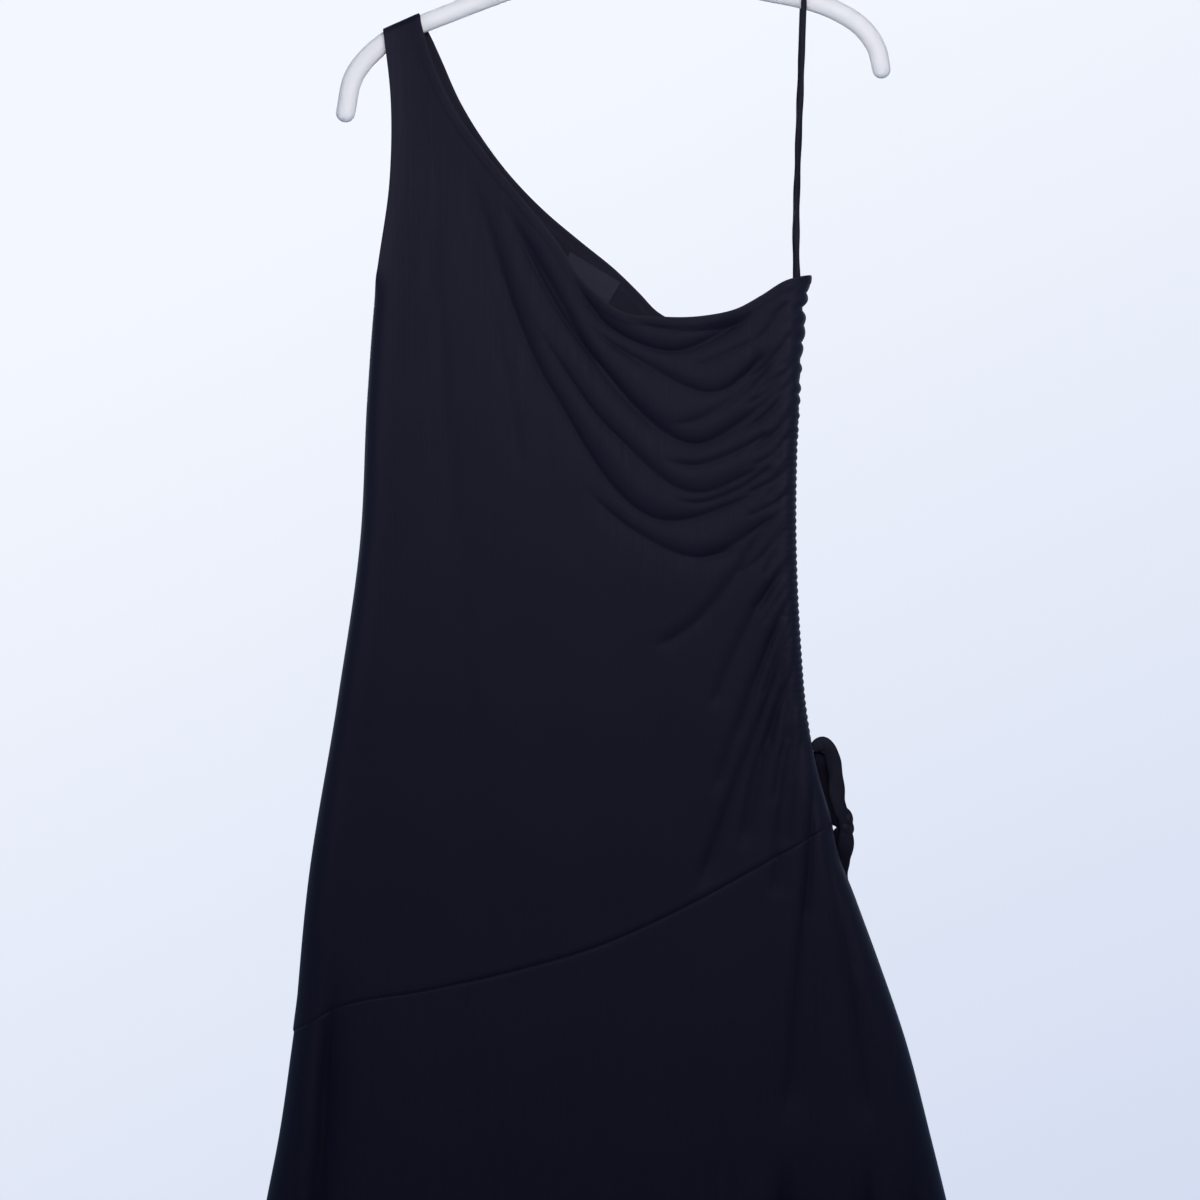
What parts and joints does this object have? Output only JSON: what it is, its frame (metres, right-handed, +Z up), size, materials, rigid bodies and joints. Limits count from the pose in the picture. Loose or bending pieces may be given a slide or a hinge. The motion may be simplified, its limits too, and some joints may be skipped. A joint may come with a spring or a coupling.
{
  "type": "one-shoulder a-line midi dress on a hanger",
  "caption": "Black jersey a-line midi dress with a broad shoulder, a thin strap, a ruched side seam with drawstring ties and a diagonal hip seam, hanging flat on a plastic hanger.",
  "frame": {"origin": "the seat of the hanger's hook, where a rail bears it", "axes": "+Z up along the hanging dress, -Y out of the front of the dress, +X towards the thin strap"},
  "size_m": [0.6319, 0.0741, 1.3183],
  "materials": {
    "black_jersey": "smooth slinky knit with a soft sheen",
    "label_tape": "blank woven tape",
    "hanger_plastic": "satin moulded plastic"
  },
  "bodies": {
    "root": {"front_upper": "black_jersey", "back_upper": "black_jersey", "front_skirt": "black_jersey", "back_skirt": "black_jersey", "shoulder_strap": "black_jersey", "tie_outer": "black_jersey", "tie_inner": "black_jersey", "tie_outer_tail": "black_jersey", "tie_inner_tail": "black_jersey", "tie_knot": "black_jersey", "neck_label": "label_tape", "hanger_arms": "hanger_plastic", "hanger_hook": "hanger_plastic"}
  },
  "joints": []
}
